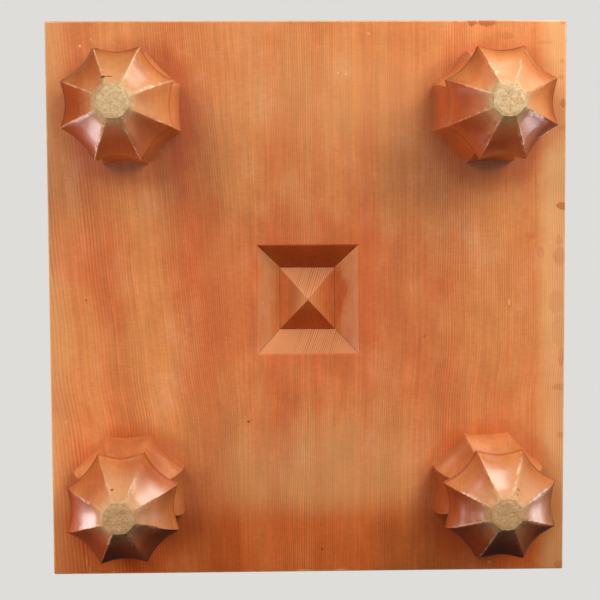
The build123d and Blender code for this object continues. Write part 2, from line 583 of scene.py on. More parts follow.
def specks():
    """A sparse scatter of tiny dents and dust."""
    group, tree, given, result = new_group(
        "specks", {"Vector": None, "Scale": 180.0, "Share": 0.06}, ["Mask"])
    cell = tree.outputs("ShaderNodeTexVoronoi", {"Vector": given["Vector"], "Scale": given["Scale"]})
    lot = tree.get("ShaderNodeSeparateColor", {0: cell["Color"]})
    chosen = tree.math("LESS_THAN", lot, given["Share"])
    tree.fill(result, {"Mask": cell["Distance"].ease(0.16, 0.06) * chosen})
    return group


def new_material(name):
    """An empty material with one Principled shader. Returns the material, its Tree and the shader."""
    material = bpy.data.materials.new(name)
    material.use_nodes = True
    material.node_tree.nodes.clear()
    tree = Tree(material.node_tree)
    shader = tree.add("ShaderNodeBsdfPrincipled")
    tree.add("ShaderNodeOutputMaterial", {"Surface": Value(tree, shader.outputs[0])})
    return material, tree, shader


def dress(obj, material):
    """Gives an object this one material."""
    obj.data.materials.clear()
    obj.data.materials.append(material)


def lacquered(tree, settings, rings, mottle, **more):
    """The lacquered wood's colour, before wear, dirt and marks."""
    return tree.use(wood_colour, Early=settings.early_wood, Late=settings.late_wood, Deep=settings.deep_tone,
                    Thin=settings.thin_tone, Late_Wood=rings["Late Wood"], Tone=rings["Tone"],
                    Fibre=rings["Fibre"], Mottle=mottle, **more)["Color"]


def marks_on(tree, point, marks, softness, rim=0.0):
    """Several marks as one mask; each is its middle and its radii, in millimetres, and its strength."""
    masks = []
    for *numbers, strength in marks:
        size = len(numbers) // 2
        middle = [value / 1000 for value in numbers[:size]]
        radii = [value / 1000 for value in numbers[size:]]
        if size == 2:
            middle.append(underside)
            radii.append(flat_mark_reach)
        mark = tree.use(old_mark, Vector=point, Centre=middle, Radii=radii, Softness=softness)
        masks.append(mark["Mask"] * strength + mark["Rim"] * (rim * strength))
    return tree.most(*masks)


# Marks on the underside: middle (x, y) and radii (x, y) in millimetres, and strength
edge_stains = [
    (134.3, -226.6, 3.2, 3.8, 0.75),
    (147.0, -226.6, 7.0, 4.0, 0.80),
    (208.4, -194.1, 1.3, 1.8, 0.40),
    (208.0, -181.1, 2.2, 1.6, 0.35),
    (209.6, -160.0, 1.8, 3.2, 0.55),
    (209.5, -139.7, 3.2, 1.8, 0.35),
    (210.0, -75.9, 4.6, 2.6, 0.75),
    (206.9, -47.9, 2.2, 3.6, 0.45),
    (207.5, -34.7, 4.2, 6.2, 0.50),
    (205.4, 3.3, 5.6, 8.6, 0.34),
    (207.6, 27.4, 5.2, 12.0, 0.30),
    (209.6, 48.2, 2.0, 7.6, 0.42),
    (209.2, 74.1, 6.0, 2.4, 0.60),
    (210.0, 114.3, 3.2, 2.2, 0.35),
    (209.0, -226.0, 2.2, 2.2, 0.40),
    (208.5, 223.6, 3.6, 2.6, 0.50),
    (192.1, -37.7, 2.8, 4.4, 0.28),
    (182.1, -51.4, 4.6, 2.2, 0.30),
    (178.8, -69.5, 2.6, 4.4, 0.25),
    (163.0, -214.6, 5.2, 2.2, 0.35),
    (194.5, -209.0, 6.5, 1.2, 0.30),
    (-170.0, 226.0, 4.4, 1.8, 0.35),
]
small_dents = [
    (-49.6, 100.6, 1.1, 0.8, 0.8),
    (-182.0, -0.6, 0.9, 0.7, 0.6),
    (11.0, 208.5, 1.0, 0.8, 0.6),
    (96.0, 31.0, 0.8, 1.0, 0.5),
    (58.0, 187.0, 0.9, 0.7, 0.5),
]
pale_scratches = [
    (-183.7, -207.4, 0.9, 1.2, 0.8),
    (-185.0, 217.0, 0.7, 4.2, 0.45),
    (-182.4, 223.6, 0.6, 3.0, 0.45),
    (166.0, 3.0, 0.8, 2.4, 0.6),
    (174.0, 9.0, 2.8, 0.5, 0.35),
    (25.3, -185.0, 1.0, 0.8, 0.6),
    (31.8, -184.2, 1.0, 0.8, 0.6),
    (-4.0, 226.5, 7.0, 1.1, 0.7),
    (26.0, 226.5, 6.0, 1.0, 0.7),
]
# The darker figure on the right wall of the recess: middle and radii (x, y, z) in millimetres, and strength
recess_figure = [
    (29.4, -8.5, 123.0, 3.4, 7.5, 14.0, 0.60),
    (26.8, 2.5, 124.0, 2.2, 13.0, 14.0, 0.55),
    (26.0, -17.0, 125.0, 2.0, 7.0, 14.0, 0.45),
]


def block_material(settings):
    """Straight-grained softwood under an old amber lacquer, waxed on the playing face."""
    material, tree, shader = new_material("amber_lacquered_wood")
    where = tree.outputs("ShaderNodeTexCoord")
    point = where["Object"]
    x, y, z = tree.axes(point)
    normal_x, normal_y, normal_z = tree.axes(where["Normal"])
    # The grain leans on the -X side, with a kink on each side
    left_lean = (y * 0.085 + y.ease(0.060, 0.110) * 0.004) * x.ease(-0.020, -0.100)
    right_lean = x.ease(0.030, 0.080) * y.ease(0.035, 0.090) * 0.0045
    leaning = tree.point(x - (left_lean - right_lean), y, z)
    rings = tree.use(growth_rings, Vector=leaning, Pith_X=-0.54, Pith_Z=0.367, Ring_Width=settings.ring_width,
                     Wander=settings.ring_wander, Young_Radius=0.51)
    pools = tree.use(lacquer_pools, Vector=leaning, Scale=20.0)
    lines = rings["Late Wood"]
    fibre = rings["Fibre"]
    mottle = pools["Mottle"]

    def oval(centre_x, centre_y, reach_x, reach_y):
        """A broad soft oval on the underside, ragged by the mottle."""
        far_x = (x - centre_x) / reach_x
        far_y = (y - centre_y) / reach_y
        return (mottle * 0.8 + (far_x * far_x + far_y * far_y)).ease(1.5, 0.3)

    # Broad tones: deep beside the recess, and towards the +Y end, partly the lacquer's own tone and partly
    # painted shade where no sheen falls; paler between
    around = oval(0.0, 0.005, 0.135, 0.105) * 0.62
    far_end_tone_and_shade = (mottle * 0.03 + y).ease(0.172, 0.205, 0.0, 0.60)
    colour = lacquered(tree, settings, rings, mottle, Broad=tree.most(around, far_end_tone_and_shade),
                       Line_Strength=y.ease(-0.20, 0.16, 0.66, 1.0),
                       Thick=pools["Thick"] * y.ease(-0.20, -0.06, 0.35, 1.0))
    # Pale sapwood along the +X side, and a painted sheen along the -X side
    edge = block_high.x
    drifting = x + (rings["Tone"] * 0.016 + mottle * 0.012 - 0.014)
    sapwood = drifting.ease(edge - 0.026, edge - 0.010) * 0.55
    painted_sheen_strip = drifting.ease(-edge + 0.026, -edge - 0.004) * 0.25
    colour = colour.covered(tree.most(sapwood, painted_sheen_strip) * (lines * -0.5 + 1.0), settings.pale_margin)
    # Two broad pale ovals on the underside, which are painted sheen
    colour = colour.covered(oval(0.012, 0.140, 0.100, 0.045) * 0.22, settings.pale_margin)
    colour = colour.covered(oval(0.030, -0.165, 0.120, 0.050) * 0.15, settings.pale_margin)
    # Painted shadow round the legs, with some old dirt in it
    from_leg = tree.length(tree.point(abs(x - 0.004) - 0.148, abs(y - 0.006) - 0.158))
    leg_shadow_and_dirt = (mottle * 0.016 + from_leg).ease(0.078, 0.058, 0.0, 0.60)
    colour = colour.darkened(leg_shadow_and_dirt, settings.shade_and_dirt_tint)
    # The underside is a little darker towards -Y
    colour = colour.darkened(1.0, tree.grey(y.ease(-0.22, 0.20, 0.925, 1.15)))
    # Playing face: waxed and drier
    top = tree.most(z.ease(playing_face - 0.0015, playing_face - 0.0004) * normal_z, 0.0)
    waxed = tree.mix(lines * 0.55, settings.play_wood, settings.early_wood)
    colour = colour.covered(top, waxed)
    # End grain on the short sides soaks up more
    end = abs(normal_y).ease(0.75, 0.95)
    colour = colour.darkened(end * 0.38, settings.deep_tone)

    # Recess: painted shade and painted sheen on the walls, ring lines on the end grain, the figure on one
    # wall, and a darker valley
    aside_x = abs(x)
    aside_y = abs(y)
    aside = tree.most(aside_x, aside_y)
    bottom = underside + settings.recess_depth
    sunk = z.ease(underside + 0.0004, underside + 0.0012) * z.ease(bottom + 0.0010, bottom + 0.0004)
    sunk = sunk * aside.ease(0.0500, 0.0480)
    # Painted shade on the walls turned to +Y; painted sheen on those turned to -Y, and on the side walls with
    # a cloudy tone
    painted_shade_walls = sunk * normal_y.ease(0.30, 0.60)
    facing = sunk * normal_y.ease(-0.30, -0.60)
    side_wall_sheen = abs(normal_x).ease(0.30, 0.50) * sunk * aside_x.ease(0.021, 0.034, 0.24, 0.56)
    cloudy = tree.noise(tree.stretched(point, 1.0, 0.5), 110.0, 4.0, 0.6).ease(0.34, 0.66, 0.55, 1.25)
    colour = colour.covered(tree.most(facing * 0.75, side_wall_sheen * cloudy), settings.thin_tone)
    tip = aside.ease(0.014, 0.002, 0.0, 0.24) * sunk
    colour = colour.covered(tip, settings.pale_margin)
    colour = colour.darkened(painted_shade_walls * 0.70, settings.shade_and_dirt_tint)
    striped = facing * x.ease(-0.016, 0.006, 0.4, 1.0) * y.ease(0.0, 0.03, 0.6, 1.0)
    striped = tree.most(painted_shade_walls * 0.35, striped, end * 0.8)
    colour = colour.darkened(tree.least(striped * lines * 2.3, 1.0), settings.late_wood)
    colour = colour.covered(marks_on(tree, point, recess_figure, 0.40, 0.2) * sunk, settings.deep_tone)
    # The corners between the walls: painted shade on the lower ones, a painted highlight on the upper ones;
    # the valley is darkened along its floor
    step_x = aside_x - settings.pyramid_width / 2
    step_y = aside_y - settings.pyramid_length / 2
    mitre = abs(step_x - step_y).ease(0.0008, 0.0002) * tree.least(step_x, step_y).ease(0.0002, 0.0010) * sunk
    shaded_corner = mitre * tree.math("GREATER_THAN", y, 0.0)
    valley = z.ease(bottom - 0.00050, bottom - 0.00005) * sunk
    uneven = tree.noise(point, 60.0, 3.0).ease(0.36, 0.60, 0.25, 1.0)
    colour = colour.covered(tree.most(valley * 0.65, shaded_corner * 0.45) * uneven, settings.grime_and_shade)
    colour = colour.covered((mitre - shaded_corner) * 0.35, settings.pale_margin)

    # Outer edges: pale where two of the block's faces are near, partly wear and partly a painted highlight
    gap_x = edge - aside_x
    gap_y = block_high.y - aside_y
    gap_z = tree.least(z - underside, playing_face - z)
    to_edge = tree.least(tree.most(gap_x, gap_y), tree.most(gap_y, gap_z), tree.most(gap_x, gap_z))
    worn = (tree.noise(point, 260.0, 3.0) * 0.0016 + to_edge).ease(0.0022, 0.0011)
    colour = colour.covered(worn * 0.7, settings.pale_margin)
    # Stains, dents, scratches and dust
    stains = marks_on(tree, point, edge_stains, 0.35, 0.6) * mottle.ease(0.40, 0.56, 0.45, 1.0)
    colour = colour.darkened(stains, settings.stain)
    dents = marks_on(tree, point, small_dents, 0.3)
    colour = colour.covered(dents, settings.grime_and_shade)
    scratches = marks_on(tree, point, pale_scratches, 0.4) * z.ease(underside + 0.004, underside + 0.001)
    dust = tree.use(specks, Vector=point, Scale=80.0, Share=0.035)["Mask"]
    colour = colour.covered(tree.most(scratches, dust * 0.3), settings.pale_margin)

    # The playing face and the end grain are drier, and the recess has less of the coat
    dry = tree.most(top, end)
    tree.fill(shader, {
        "Base Color": colour,
        "Roughness": worn * 0.2 + (fibre * 0.14 + 0.42),
        "Specular IOR Level": 0.12,
        "Coat Weight": (mottle * 0.5 + 0.45) * (sunk * -0.55 + 1.0) * (dry * -0.75 + 1.0),
        "Coat Roughness": 0.14,
        "Coat IOR": 1.75,
        "Normal": tree.bump(lines * 0.5 + fibre * 0.5 - dents * 0.8, 0.30, 0.00020),
    })
    return material


# Pits in the legs: middle (x, y, z) and radii (x, y, z) in millimetres, and strength
leg_pits = [
    (-155.8, -176.2, 12.6, 1.6, 1.1, 2.0, 1.0),
    (-151.6, -176.6, 13.4, 2.8, 0.5, 1.6, 0.8),
    (155.7, 143.2, 9.3, 1.8, 0.8, 1.8, 0.55),
    (158.0, 140.0, 12.6, 1.3, 1.0, 1.8, 0.6),
    (-153.6, 137.0, 13.5, 1.0, 0.9, 1.6, 0.9),
    (171.5, 167.0, 25.0, 1.0, 1.6, 2.0, 0.7),
]


def leg_material(settings):
    """Reddish lacquer over carved wood, rubbed along the ridges and raw on the foot."""
    material, tree, shader = new_material("red_lacquered_wood")
    where = tree.outputs("ShaderNodeTexCoord")
    point = where["Object"]
    _, y, z = tree.axes(point)
    normal_x, normal_y, _ = tree.axes(where["Normal"])
    # The legs' grain stands upright, so the rings' axis is turned from Y to Z
    upright = tree.get("ShaderNodeMapping", {"Vector": point, "Rotation": (math.pi / 2, 0, 0)})
    rings = tree.use(growth_rings, Vector=upright, Pith_X=-2.4, Pith_Z=0.0, Ring_Width=settings.ring_width,
                     Wander=0.008, Young_Radius=0.0)
    pools = tree.use(lacquer_pools, Vector=point, Scale=26.0)
    fibre = rings["Fibre"]
    # Painted shade on the flutes turned to +Y and -X, more painted shade on the +Y flutes of the legs at +Y,
    # and a painted sheen on the flutes turned to -Y and +X near the foot
    away = normal_x * -0.55 + normal_y * 0.8
    colour = lacquered(tree, settings, rings, pools["Mottle"], Broad=away.ease(-0.45, 0.55, 0.0, 0.9),
                       Line_Strength=0.35, Thick=pools["Thick"])
    far_flute_shading = normal_y.ease(0.05, 0.50, 0.0, 0.50) * y.ease(0.05, 0.12)
    colour = colour.darkened(far_flute_shading, settings.far_flute_shade)
    # Painted sheen: paler on the flutes turned to -Y and +X, near the foot
    faded = away.ease(-0.25, -0.60, 0.0, 0.60) * z.ease(0.036, 0.010)
    colour = colour.covered(faded, settings.rubbed_wood)
    # Painted shade along the rim; pale patches along the ridges, partly rubbed wood and partly painted
    # highlight
    rim = abs(z - settings.rim_height)
    colour = colour.darkened(rim.ease(0.0030, 0.0006, 0.0, 0.8), settings.late_wood)
    ragged = tree.noise(point, 260.0, 4.0, 0.65)
    from_ridge = tree.get("ShaderNodeAttribute", output="Fac", attribute_name="from_ridge")
    bare = (ragged * 0.0022 + from_ridge).ease(0.0020, 0.0011)
    bare = bare * tree.noise(point, 75.0, 2.0).ease(0.36, 0.56, 0.30, 1.0) * z.ease(0.044, 0.036, 0.35, 1.0)
    colour = colour.covered(bare * 0.66, settings.worn_ridge_and_glint)
    # The rubbed zone round the foot, and the raw end grain of the foot
    fine = tree.noise(point, 800.0, 5.0, 0.7)
    torn = tree.noise(point, 240.0, 3.0, 0.6)
    height = ragged * 0.010 + z
    rubbed = (bare * -0.004 + height).ease(0.0290, 0.0060)
    raw = (bare * -0.006 + height).ease(0.0175, 0.0070)
    foot = tree.mix(torn.ease(0.36, 0.66), settings.foot_grain, settings.foot_pale)
    foot = foot.covered(fine.ease(0.50, 0.38) * 0.45, settings.foot_dark)
    foot = foot.covered(y.ease(0.0, 0.1, 0.0, 0.27), settings.early_wood)
    colour = colour.covered(rubbed * 0.75, settings.rubbed_wood).covered(raw, foot)
    pits = marks_on(tree, point, leg_pits, 0.25)
    colour = colour.covered(pits * 0.9, settings.pit)
    # The tenon and the shoulder are bare wood
    seat = z.ease(underside - 0.0008, underside)
    colour = colour.covered(seat, settings.foot_grain)

    dry = tree.most(raw, seat, rubbed * 0.10)
    relief = fibre * 0.4 + rings["Late Wood"] * 0.2 - pits * 2.0
    tree.fill(shader, {
        "Base Color": colour,
        "Roughness": dry * 0.40 + (fibre * 0.10 + 0.34),
        "Specular IOR Level": 0.10,
        "Coat Weight": dry * -0.8 + 1.0,
        "Coat Roughness": 0.32,
        "Coat IOR": 1.85,
        "Normal": tree.bump(raw * fine * 2.2 + relief, 0.45, 0.0003),
    })
    return material


def lacquer_material(settings):
    """Black lacquer drawn on the playing face, worn to brown here and there."""
    material, tree, shader = new_material("black_drawn_lacquer")
    point = tree.outputs("ShaderNodeTexCoord")["Object"]
    worn = tree.noise(point, 190.0, 4.0, 0.6).ease(0.60, 0.74)
    brown = tuple(channel * 3 + 0.02 for channel in settings.lacquer)
    tree.fill(shader, {
        "Base Color": tree.mix(worn, settings.lacquer, brown),
        "Roughness": worn * 0.3 + 0.28,
        "Normal": tree.bump(tree.noise(point, 1400.0, 2.0), 0.25, 0.0001),
    })
    return material


def cut(axis, place, side=1, **more):
    """In edit mode, bisects the whole mesh at a plane square to an axis."""
    spot = Vector((0, 0, 0))
    spot[axis] = place
    facing = Vector((0, 0, 0))
    facing[axis] = side
    select_all()
    bpy.ops.mesh.bisect(plane_co=spot, plane_no=facing, **more)


def within(face, x, y, half_x, half_y):
    """Whether a face of the underside lies inside this rectangle."""
    middle = face.calc_center_median()
    flat = abs(middle.z - underside) < on_line
    return flat and abs(middle.x - x) < half_x and abs(middle.y - y) < half_y


def on_outer_edge(edge):
    """Whether an edge of the block lies on two of its outer faces."""
    ends = [vertex.co for vertex in edge.verts]
    shared_faces = sum(
        all(abs(abs(end[axis] - block_middle[axis]) - block_size[axis] / 2) < on_face for end in ends)
        for axis in range(3))
    return shared_faces >= 2


def make_block(settings):
    """The block: a bisected cube with its recess, pyramid and mortises extruded, and its edges worn."""
    work_on(None)
    bpy.ops.mesh.primitive_cube_add(size=1, location=block_middle)
    block = bpy.context.object
    block.name = "carved_block"
    block.scale = block_size
    settle(block)
    seats = [(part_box(body)[0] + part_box(body)[1]) / 2 for body in leg_bodies]
    half = settings.mortise_width / 2
    recess_x = settings.recess_width / 2
    recess_y = settings.recess_length / 2
    edit(block)
    for axis, reach in ((0, recess_x), (1, recess_y)):
        mortise_sides = sorted({round(seat[axis] + side, 5) for seat in seats for side in (-half, half)})
        for place in [-reach, reach] + mortise_sides:
            cut(axis, place)
    choose(block, "EDGE", on_outer_edge)
    bpy.ops.mesh.bevel(offset=settings.edge_wear, segments=4, profile=0.6)

    # Recess, then the pyramid left standing in it
    choose(block, "FACE", lambda face: within(face, 0, 0, recess_x, recess_y))
    draw_up(settings.recess_depth)
    valley = Vector((0, 0, underside + settings.recess_depth))
    scale_about(valley, settings.pyramid_width / settings.recess_width,
                settings.pyramid_length / settings.recess_length)
    draw_up(settings.pyramid_drop - settings.recess_depth)
    tip = settings.pyramid_tip / settings.pyramid_width
    scale_about(valley, tip, tip)
    # Mortises
    for seat in seats:
        choose(block, "FACE", lambda face: within(face, seat.x, seat.y, half, half))
        draw_up(settings.mortise_depth)

    def slanting(face):
        """Whether a face is a wall of the recess or a facet of the pyramid."""
        middle = face.calc_center_median()
        carved = 0.2 < abs(face.normal.z) < 0.95 and middle.z > underside + 0.002
        return carved and abs(middle.x) < recess_x and abs(middle.y) < recess_y

    def on_hip(co):
        """Whether a point is on one of the slanting arrises of the pyramid."""
        rise = (settings.recess_depth - (co.z - underside)) / (settings.recess_depth - settings.pyramid_drop)
        half_x = settings.pyramid_width / 2 * (1 - rise * (1 - tip))
        half_y = settings.pyramid_length / 2 * (1 - rise * (1 - tip))
        return abs(abs(co.x) - half_x) < on_line and abs(abs(co.y) - half_y) < on_line

    def on_mouth(co):
        """Whether a point is on the mouth of the recess."""
        past_x = abs(co.x) - recess_x
        past_y = abs(co.y) - recess_y
        flush = abs(co.z - underside) < on_face and past_x < on_line and past_y < on_line
        return flush and (abs(past_x) < on_line or abs(past_y) < on_line)

    def carved_arris(edge):
        ends = [vertex.co for vertex in edge.verts]
        return all(on_mouth(end) for end in ends) or all(on_hip(end) for end in ends)

    def inside(co):
        """How much the chisel's unevenness shows at a point, which fades to the mouth and the valley."""
        if abs(co.x) > recess_x or abs(co.y) > recess_y or co.z > underside + settings.recess_depth + 0.001:
            return 0.0
        from_mouth = (co.z - underside) / chisel_fade
        from_valley = (underside + settings.recess_depth - co.z) / chisel_fade
        return max(0.0, min(1.0, from_mouth - 0.4, from_valley + 0.15))

    # Walls and facets are divided while they still have four sides, then their arrises are worn
    choose(block, "FACE", slanting)
    bpy.ops.mesh.subdivide(number_cuts=wall_cuts)
    choose(block, "EDGE", carved_arris)
    bpy.ops.mesh.bevel(offset=arris_wear, segments=2, profile=0.6)
    work_on(block)
    displaced(block, "chisel", chisel_width, settings.chisel_depth, weigh(block, "chiselled", inside))
    apply_all(block)
    face_outward(block)
    smooth(block, 25)
    dress(block, block_material(settings))
    return block


def swell(low, high, shares):
    """Stations from low up to high, both left out, where each is (height, ridge radius, hollow)."""
    return [tuple(low[i] + (high[i] - low[i]) * (out if i == 1 else rise) for i in range(3))
            for rise, out in shares]


def leg_stations(settings):
    """Levels of the leg: fruit up to its rim, rim in to the neck, collar out to the block."""
    foot = (0.0, settings.foot_radius, settings.foot_hollow)
    rim = (settings.rim_height, settings.rim_radius, settings.rim_hollow)
    neck = (settings.neck_height, settings.neck_radius, settings.neck_hollow)
    collar = (underside, settings.collar_radius, settings.collar_hollow)
    fruit_swell = [(0.15, 0.10), (0.30, 0.25), (0.45, 0.455), (0.62, 0.685), (0.80, 0.87)]
    under_swell = [(0.25, 0.06), (0.50, 0.34), (0.75, 0.73)]
    collar_swell = [(0.15, 0.33), (0.30, 0.61), (0.50, 0.84), (0.75, 0.97)]
    return [
        [foot] + swell(foot, rim, fruit_swell) + [rim],
        [rim] + swell(rim, neck, under_swell) + [neck],
        [neck] + swell(neck, collar, collar_swell) + [collar],
    ]


def eased_rings(stage, steps):
    """Rings along one stage, on a smooth curve through its stations."""
    rings = []
    last = len(stage) - 1
    for index in range(last):
        before = stage[max(index - 1, 0)]
        start = stage[index]
        end = stage[index + 1]
        after = stage[min(index + 2, last)]
        for step in range(steps):
            t = step / steps
            values = [start[0] + (end[0] - start[0]) * t]
            for i in (1, 2):
                first = (end[i] - before[i]) / (end[0] - before[0]) * (end[0] - start[0])
                second = (after[i] - start[i]) / (after[0] - start[0]) * (end[0] - start[0])
                values.append((2 * t**3 - 3 * t**2 + 1) * start[i] + (t**3 - 2 * t**2 + t) * first
                              + (3 * t**2 - 2 * t**3) * end[i] + (t**3 - t**2) * second)
            rings.append(tuple(values))
    return rings


def leg_rings(settings):
    """All rings from the middle of the foot to the block: (height, ridge radius, hollow)."""
    fruit, under, collar = leg_stations(settings)
    rings = eased_rings(fruit, 10) + eased_rings(under, 6) + eased_rings(collar, 6) + [collar[-1]]
    # The foot's arris is rubbed round, and its flutes fade out towards the floor
    start = settings.foot_radius - settings.foot_wear
    flat = [(0.0, start * step / foot_steps, round_section) for step in range(1, foot_steps + 1)]
    edge = [(settings.foot_wear * 0.25, start + settings.foot_wear * 0.72, round_section)]
    faded = []
    for height, radius, hollow in rings[1:]:
        fade = min(1.0, height / settings.flute_start)
        faded.append((height, radius, round_section + (hollow - round_section) * fade**0.6))
    return flat + edge + faded


def flute_shape(ridges, hollow):
    """How far in the flute lies at each step away from a ridge, as a share of the ridge's radius."""
    half = math.pi / ridges
    depth = 2 * math.sin(half) * hollow
    shares = {}
    for step in range(1, flute_steps // 2 + 1):
        angle = half - 2 * half * step / flute_steps
        aside = math.tan(angle) / math.tan(half)
        shares[step] = (math.cos(half) - depth * (1 - aside**2)) / math.cos(angle)
    return shares


def ridge_offset(x, y, ridges, turn=0.0):
    """The angle from a point to the nearest ridge."""
    pitch = 2 * math.pi / ridges
    offset = (math.atan2(y, x) - turn - pitch / 2) % pitch
    return min(offset, pitch - offset)


def pick(mesh, vertices):
    """In edit mode, selects these vertices."""
    bpy.ops.mesh.select_all(action="DESELECT")
    for vertex in vertices:
        vertex.select_set(True)
    mesh.select_flush_mode()


def carve_leg(settings):
    """One fluted leg about the Z axis: a disc drawn up ring by ring, its flutes drawn in on each ring."""
    rings = leg_rings(settings)
    work_on(None)
    bpy.ops.mesh.primitive_circle_add(vertices=settings.ridges * flute_steps, radius=rings[0][1],
                                      fill_type="NGON", location=(0, 0, 0))
    leg = bpy.context.object
    edit(leg)
    bpy.context.tool_settings.mesh_select_mode = (True, False, False)
    select_all()
    pitch = 2 * math.pi / settings.ridges
    shape = {step: 1.0 for step in range(1, flute_steps // 2 + 1)}
    for lower, upper in zip(rings, rings[1:]):
        draw_up(upper[0] - lower[0])
        centre = (0, 0, upper[0])
        grow = upper[1] / lower[1]
        scale_about(centre, grow, grow)
        mesh = bmesh.from_edit_mesh(leg.data)
        ring = [vertex for vertex in mesh.verts if vertex.select]
        phases = {step: [] for step in range(flute_steps // 2 + 1)}
        for vertex in ring:
            offset = ridge_offset(vertex.co.x, vertex.co.y, settings.ridges)
            phases[round(offset / pitch * flute_steps)].append(vertex)
        wanted = flute_shape(settings.ridges, upper[2])
        for step, share_of_radius in wanted.items():
            pick(mesh, phases[step])
            change = share_of_radius / shape[step]
            scale_about(centre, change, change)
        pick(mesh, ring)
        shape = wanted

    def on_ridge(edge):
        near = all(ridge_offset(v.co.x, v.co.y, settings.ridges) < 0.001 for v in edge.verts)
        return near and edge.verts[0].co.z != edge.verts[1].co.z and edge.verts[0].co.z > settings.foot_wear

    choose(leg, "EDGE", on_ridge)
    bpy.ops.mesh.bevel(offset=settings.ridge_wear, segments=2, profile=0.6)
    work_on(leg)
    return leg


def make_tenon(settings, x, y):
    """A square tenon with a chamfered end, which reaches down into the leg so that the two can be joined."""
    work_on(None)
    middle = underside + (settings.tenon_length - tenon_root) / 2
    bpy.ops.mesh.primitive_cube_add(size=1, location=(x, y, middle))
    tenon = bpy.context.object
    tenon.scale = (settings.tenon_width, settings.tenon_width, settings.tenon_length + tenon_root)
    settle(tenon)
    edit(tenon)
    end = underside + settings.tenon_length
    choose(tenon, "EDGE", lambda edge: all(abs(v.co.z - end) < on_line for v in edge.verts))
    bpy.ops.mesh.bevel(offset=settings.tenon_chamfer, segments=1)
    return tenon


def finish_leg(leg, body, settings, turn):
    """Seats a copy of the leg at its body's place, with its own hand-carved unevenness and its tenon."""
    low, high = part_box(body)
    middle = (low + high) / 2
    edit(leg)
    select_all()
    bpy.ops.transform.rotate(value=turn, orient_axis="Z", center_override=(0, 0, 0))
    bpy.ops.transform.translate(value=(middle.x, middle.y, 0))
    work_on(leg)

    def from_ridge(co):
        """The way round the leg from a point to the nearest ridge."""
        x = co.x - middle.x
        y = co.y - middle.y
        return ridge_offset(x, y, settings.ridges, turn) * math.hypot(x, y)

    # How much each kind of unevenness shows at a point: none of them at the shoulder, where the leg is seated
    def seated(co):
        return max(0.0, min(1.0, (underside - 0.001 - co.z) / block_fade))

    def carved(co):
        return seated(co) * min(1.0, co.z / floor_fade)

    def near_ridge(co):
        return seated(co) if from_ridge(co) < chip_reach and co.z > 0.003 else 0.0

    def near_foot(co):
        return max(0.0, 1.0 - co.z / tear_reach)

    displaced(leg, "hand", hand_size, settings.hand_swell * 2, weigh(leg, "carved", carved))
    displaced(leg, "tool", tool_size, settings.hand_swell * 0.14, "carved")
    displaced(leg, "chipped", chip_size, settings.ridge_wear * 1.6, weigh(leg, "ridges", near_ridge), 0.75)
    displaced(leg, "torn", tear_size, settings.torn_foot, weigh(leg, "foot", near_foot), 1.0)
    apply_all(leg)
    tenon = make_tenon(settings, middle.x, middle.y)
    work_on(leg)
    union = leg.modifiers.new("tenon", "BOOLEAN")
    union.operation = "UNION"
    union.solver = "EXACT"
    union.object = tenon
    apply_all(leg)
    work_on(tenon)
    bpy.ops.object.delete()
    face_outward(leg)
    smooth(leg, 28)
    attribute = leg.data.attributes.new("from_ridge", "FLOAT", "POINT")
    attribute.data.foreach_set("value", [from_ridge(vertex.co) for vertex in leg.data.vertices])
    return leg


def make_grid(settings):
    """The lattice of lacquer lines: a grid with its squares inset and taken out, cut at its outer lines."""
    work_on(None)
    gaps = settings.gaps + 2
    bpy.ops.mesh.primitive_grid_add(x_subdivisions=gaps, y_subdivisions=gaps, size=1,
                                    location=(0, 0, playing_face))
    lattice = bpy.context.object
    lattice.name = "lacquer_lines"
    lattice.scale = (gaps * settings.pitch_x, gaps * settings.pitch_y, 1)
    settle(lattice)
    edit(lattice)
    select_all()
    bpy.ops.mesh.inset(thickness=settings.line_width / 2, use_individual=True, use_even_offset=True)
    bpy.ops.mesh.delete(type="FACE")
    for axis, pitch in ((0, settings.pitch_x), (1, settings.pitch_y)):
        reach = (settings.gaps * pitch + settings.line_width) / 2
        for side in (-1, 1):
            cut(axis, side * reach, side, clear_outer=True)
    select_all()
    bpy.ops.mesh.remove_doubles(threshold=0.00001)
    draw_up(settings.line_height)
    work_on(lattice)
    face_outward(lattice)
    smooth(lattice, 30)
    return lattice


def make_stars(settings):
    """Nine low domes of lacquer on the crossings, modelled once and copied."""
    work_on(None)
    bpy.ops.mesh.primitive_circle_add(vertices=32, radius=settings.star_radius, fill_type="NGON",
                                      location=(0, 0, playing_face))
    dot = bpy.context.object
    settle(dot)
    edit(dot)
    select_all()
    for rise, shrink in ((0.6, 0.97), (0.85, 0.85), (0.95, 0.7), (1.0, 0.4)):
        level = playing_face + settings.star_height * rise
        bpy.ops.mesh.extrude_region_move()
        mesh = bmesh.from_edit_mesh(dot.data)
        current = next(v.co.copy() for v in mesh.verts if v.select)
        bpy.ops.transform.translate(value=(0, 0, level - current.z))
        factor = shrink * settings.star_radius / math.hypot(current.x, current.y)
        scale_about((0, 0, level), factor, factor)
    work_on(dot)
    dots = [dot]
    places = [(column, row) for column in (-1, 0, 1) for row in (-1, 0, 1) if (column, row) != (0, 0)]
    for column, row in places:
        copy = dot.copy()
        copy.data = dot.data.copy()
        bpy.context.scene.collection.objects.link(copy)
        step = settings.star_gap
        copy.location = (column * step * settings.pitch_x, row * step * settings.pitch_y, 0)
        dots.append(copy)
    work_on(dot)
    for each in dots:
        each.select_set(True)
    bpy.ops.object.transform_apply(location=True, rotation=False, scale=False)
    bpy.ops.object.join()
    stars = bpy.context.object
    stars.name = "lacquer_star_points"
    face_outward(stars)
    smooth(stars, 50)
    return stars


